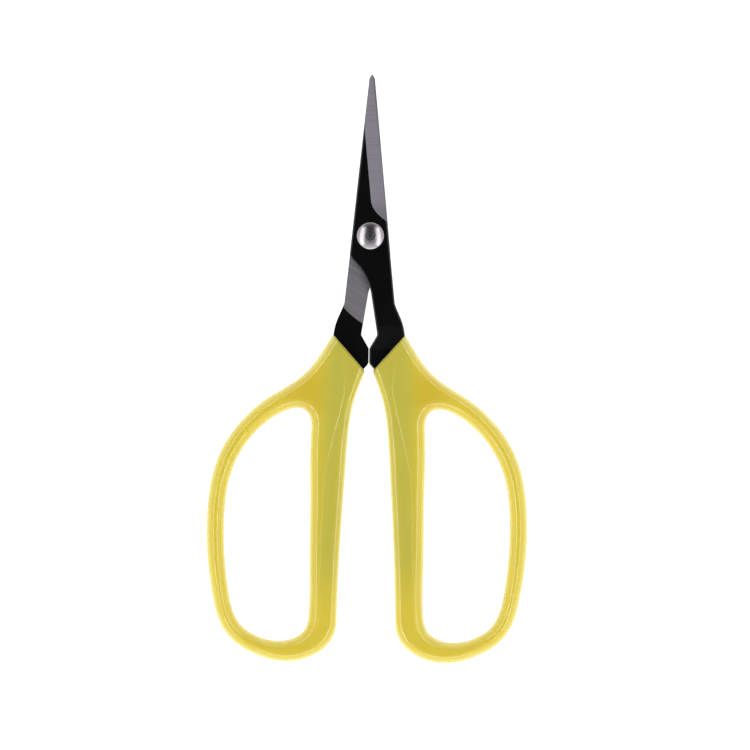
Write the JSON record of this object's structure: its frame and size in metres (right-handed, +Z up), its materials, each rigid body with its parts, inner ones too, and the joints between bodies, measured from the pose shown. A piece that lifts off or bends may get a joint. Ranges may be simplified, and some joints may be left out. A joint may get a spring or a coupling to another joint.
{
  "type": "office scissors",
  "caption": "Fine-tipped scissors with slim black coated blades on a domed rivet and large translucent yellow finger loops.",
  "frame": {"origin": "on the surface that the grips rest on, at the middle of the shut scissors' length and width", "axes": "+Y towards the tips, +Z up along the rivet out of its domed head, +X towards the front half's grip"},
  "size_m": [0.0982, 0.18, 0.0084],
  "materials": {
    "coated_steel": "satin black non-stick coating on stamped steel, bevels and inner faces ground bare",
    "grip_vinyl": "glossy translucent yellow moulded vinyl",
    "rivet_steel": "polished steel"
  },
  "bodies": {
    "rear_half": {"rear_blade": "coated_steel", "rear_grip": "grip_vinyl", "pivot_rivet": "rivet_steel", "pivot_washer": "rivet_steel"},
    "front_half": {"front_blade": "coated_steel", "front_grip": "grip_vinyl"}
  },
  "joints": [
    {"name": "pivot", "type": "hinge", "parent": "rear_half", "child": "front_half", "pos_m": [0, 0.0405, 0.0042], "axis": [0, 0, 1], "range_deg": [0, 90]}
  ]
}
